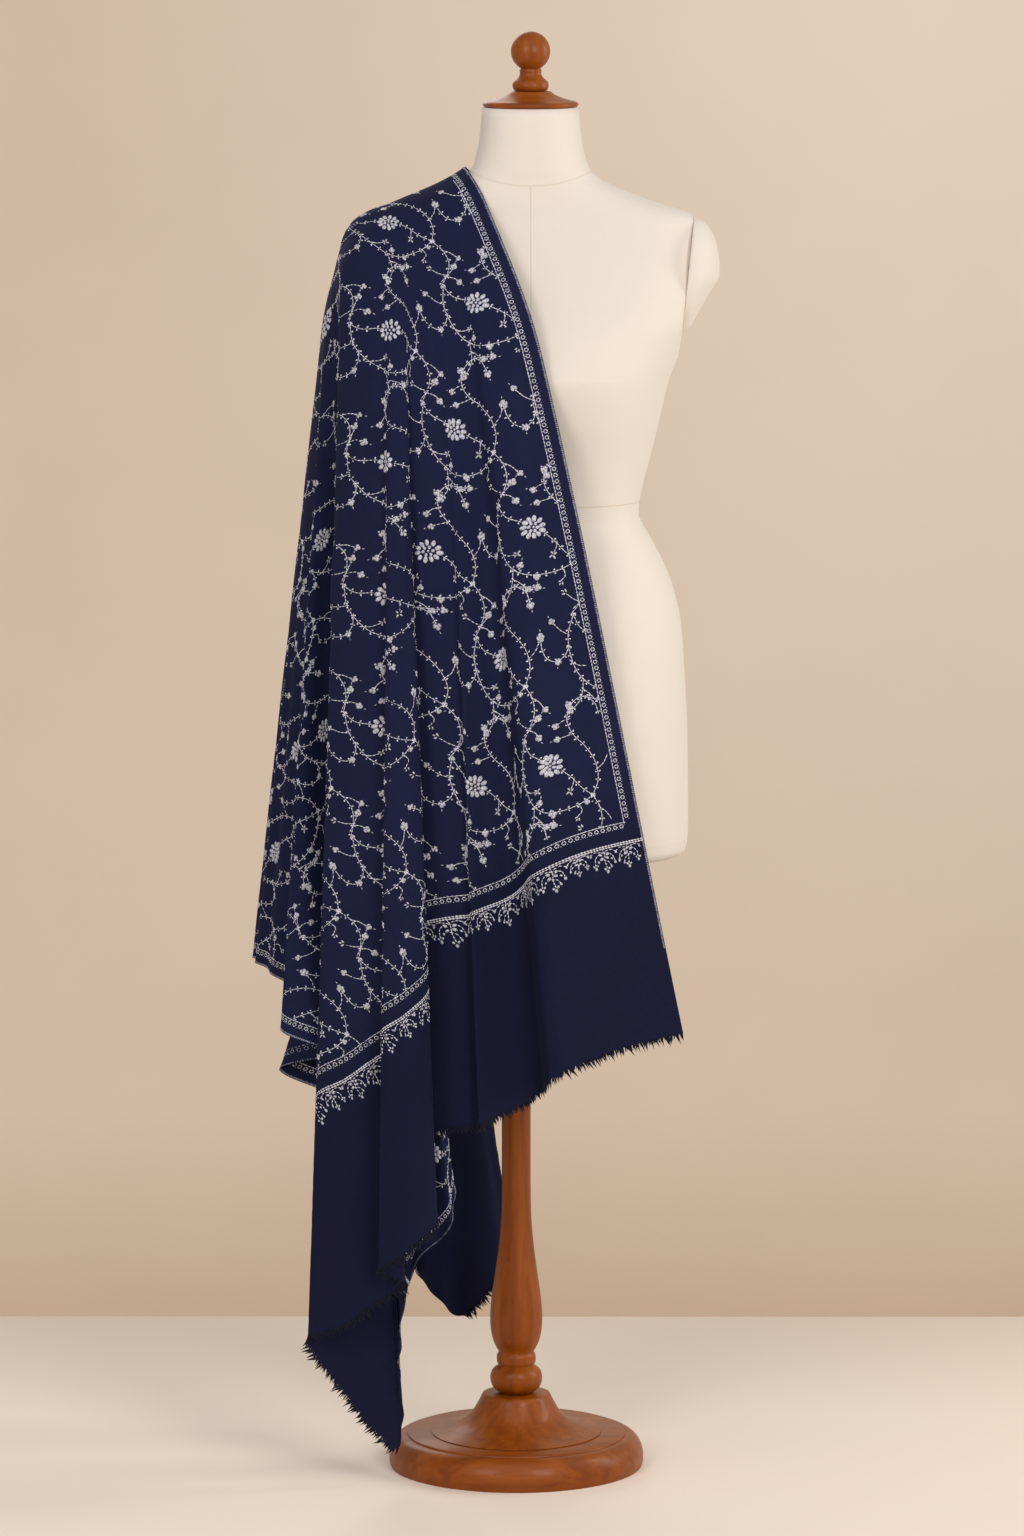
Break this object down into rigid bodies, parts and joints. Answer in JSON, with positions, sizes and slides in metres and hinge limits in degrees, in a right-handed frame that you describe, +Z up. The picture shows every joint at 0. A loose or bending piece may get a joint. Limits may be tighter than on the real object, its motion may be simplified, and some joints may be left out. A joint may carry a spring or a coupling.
{
  "type": "pashmina shawl on a dress form",
  "caption": "Embroidered rectangular shawl draped over one shoulder of a limbless dress form on a turned wooden stand.",
  "frame": {"origin": "centre of the round base's underside, on the floor", "axes": "+Z up along the pole. The form faces -Y. The shawl lies over its shoulder on the -X side."},
  "size_m": [0.5296, 0.3995, 1.6488],
  "materials": {
    "pashmina": "matt navy wool with pale embroidery",
    "form_cover": "smooth cream cloth cover",
    "stand_wood": "glossy brown varnish"
  },
  "bodies": {
    "root": {"shawl_front": "pashmina", "shawl_back": "pashmina", "shawl_fringe_front": "pashmina", "shawl_fringe_back": "pashmina", "form_torso": "form_cover", "form_shoulder_cap_bare": "form_cover", "form_shoulder_cap_draped": "form_cover", "form_neck_cap": "stand_wood", "form_finial": "stand_wood", "stand_pole": "stand_wood", "stand_pedestal": "stand_wood", "stand_base": "stand_wood"}
  },
  "joints": []
}
